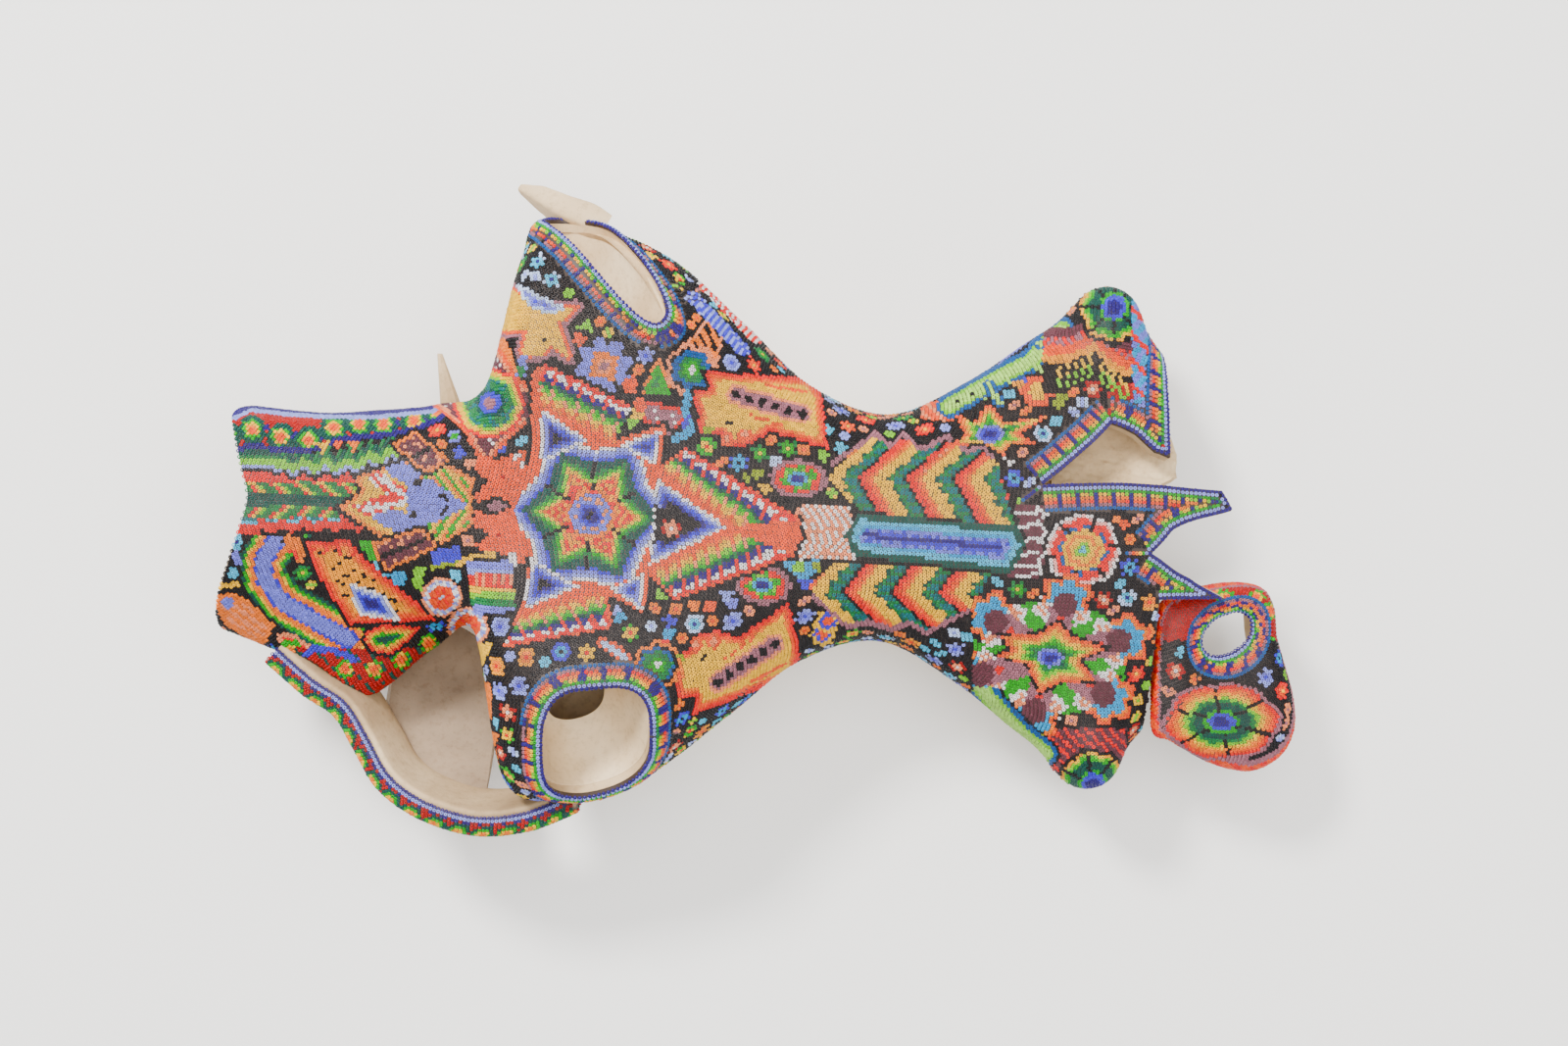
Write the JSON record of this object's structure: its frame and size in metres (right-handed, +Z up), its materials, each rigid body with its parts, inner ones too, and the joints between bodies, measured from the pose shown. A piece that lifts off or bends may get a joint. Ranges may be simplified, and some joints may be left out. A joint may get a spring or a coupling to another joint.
{
  "type": "beaded animal skull",
  "caption": "Large animal skull without its lower jaw, covered outside in coloured glass beads set in wax, with bare bone in the eye sockets, right arch and broken edges.",
  "frame": {"origin": "middle of the base, on the plane the cheek teeth stand on", "axes": "+X from the back of the skull to the snout, +Y to the skull's left side, +Z up through the forehead"},
  "size_m": [0.5856, 0.3504, 0.1751],
  "materials": {
    "glass_beads": "gloss",
    "bees_wax": "satin",
    "weathered_bone": "matte",
    "tooth_enamel": "satin"
  },
  "bodies": {
    "root": {"beads_arch_right": "glass_beads", "beads_braincase": "glass_beads", "beads_cheek_left": "glass_beads", "beads_cheek_right": "glass_beads", "beads_eye_socket_left": "glass_beads", "beads_eye_socket_right": "glass_beads", "beads_flank_left": "glass_beads", "beads_flank_right": "glass_beads", "beads_forehead": "glass_beads", "beads_nasal_tongue": "glass_beads", "beads_nose_bridge": "glass_beads", "beads_premaxilla_right": "glass_beads", "bone_arch_right": "weathered_bone", "bone_arch_stub_left": "weathered_bone", "bone_braincase": "weathered_bone", "bone_cheek_left": "weathered_bone", "bone_cheek_right": "weathered_bone", "bone_eye_cup_left": "weathered_bone", "bone_eye_cup_right": "weathered_bone", "bone_eye_socket_left": "weathered_bone", "bone_eye_socket_right": "weathered_bone", "bone_flank_left": "weathered_bone", "bone_flank_right": "weathered_bone", "bone_forehead": "weathered_bone", "bone_nasal_tongue": "weathered_bone", "bone_nose_bridge": "weathered_bone", "bone_occiput": "weathered_bone", "bone_palate": "weathered_bone", "bone_premaxilla_right": "weathered_bone", "bone_pterygoid_left": "weathered_bone", "bone_pterygoid_right": "weathered_bone", "bone_skull_base": "weathered_bone", "bone_spike_left": "weathered_bone", "bone_torn_premaxilla_left": "weathered_bone", "tooth_left_1": "tooth_enamel", "tooth_left_2": "tooth_enamel", "tooth_left_3": "tooth_enamel", "tooth_left_4": "tooth_enamel", "tooth_left_5": "tooth_enamel", "tooth_right_1": "tooth_enamel", "tooth_right_2": "tooth_enamel", "tooth_right_3": "tooth_enamel", "tooth_right_4": "tooth_enamel", "tooth_right_5": "tooth_enamel", "wax_arch_right": "bees_wax", "wax_braincase": "bees_wax", "wax_cheek_left": "bees_wax", "wax_cheek_right": "bees_wax", "wax_eye_socket_left": "bees_wax", "wax_eye_socket_right": "bees_wax", "wax_flank_left": "bees_wax", "wax_flank_right": "bees_wax", "wax_forehead": "bees_wax", "wax_nasal_tongue": "bees_wax", "wax_nose_bridge": "bees_wax", "wax_premaxilla_right": "bees_wax"}
  },
  "joints": []
}
